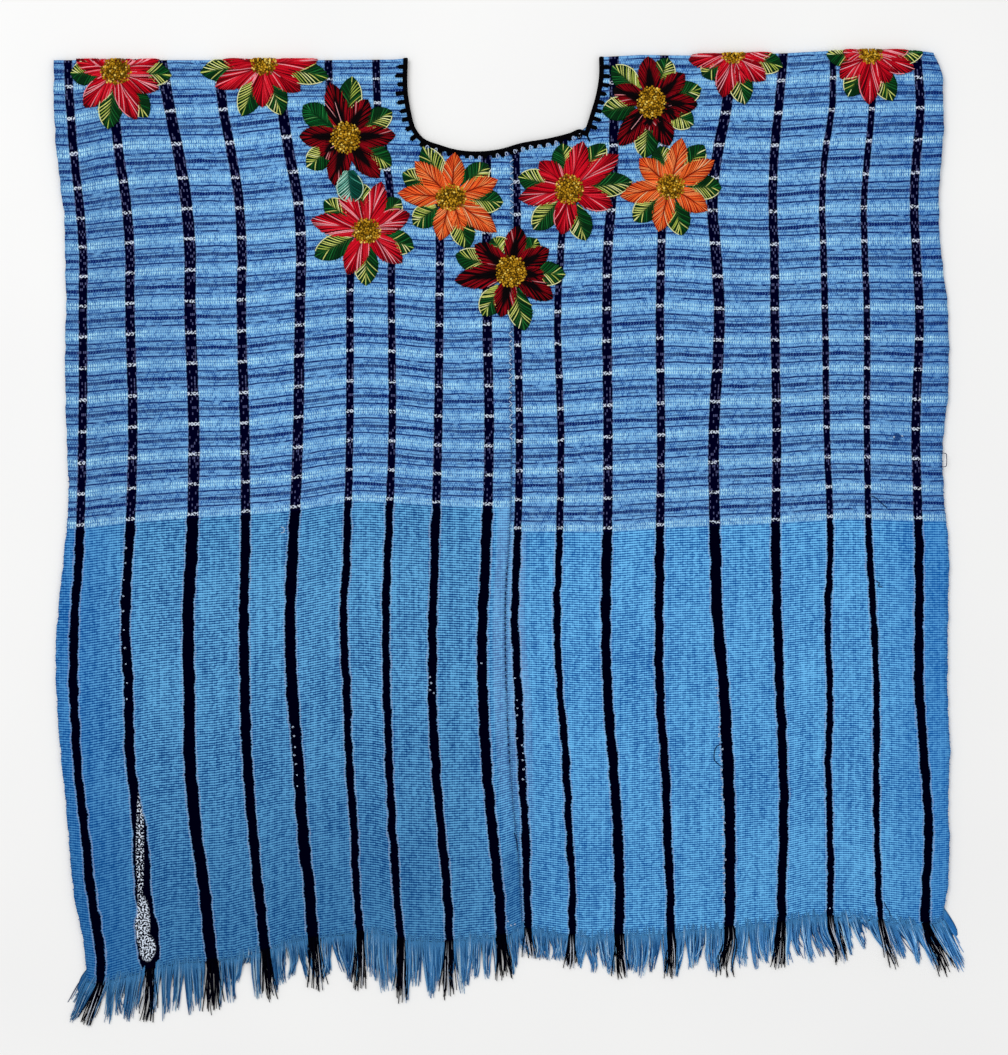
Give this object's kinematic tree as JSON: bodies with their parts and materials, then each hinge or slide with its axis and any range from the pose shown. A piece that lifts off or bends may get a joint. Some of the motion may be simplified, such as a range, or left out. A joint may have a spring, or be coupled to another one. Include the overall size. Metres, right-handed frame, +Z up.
{
  "type": "huipil blouse",
  "caption": "Loose sleeveless blouse of handwoven striped panels laid flat, front on back, with a bound neck, embroidered flowers and a fringed hem.",
  "frame": {"origin": "middle of the laid garment on the surface it lies on", "axes": "+X to the right of the front seen from above, +Y up the garment from hem to shoulders, +Z up out of the front"},
  "size_m": [0.7794, 0.8412, 0.0072],
  "materials": {
    "woven_cotton": "matte blue cotton with navy warp stripes",
    "black_binding": "matte black cotton yarn",
    "red_thread": "soft sheen embroidery thread",
    "dark_red_thread": "soft sheen embroidery thread",
    "orange_thread": "soft sheen embroidery thread",
    "fringe_yarn": "matte loose cotton yarn"
  },
  "bodies": {
    "root": {"left_panel": "woven_cotton", "right_panel": "woven_cotton", "neck_binding": "black_binding", "flower_01": "red_thread", "flower_02": "red_thread", "flower_03": "dark_red_thread", "flower_04": "red_thread", "flower_05": "orange_thread", "flower_06": "dark_red_thread", "flower_07": "red_thread", "flower_08": "dark_red_thread", "flower_09": "orange_thread", "flower_10": "red_thread", "flower_11": "red_thread", "front_left_fringe": "fringe_yarn", "front_right_fringe": "fringe_yarn", "back_left_fringe": "fringe_yarn", "back_right_fringe": "fringe_yarn"}
  },
  "joints": []
}
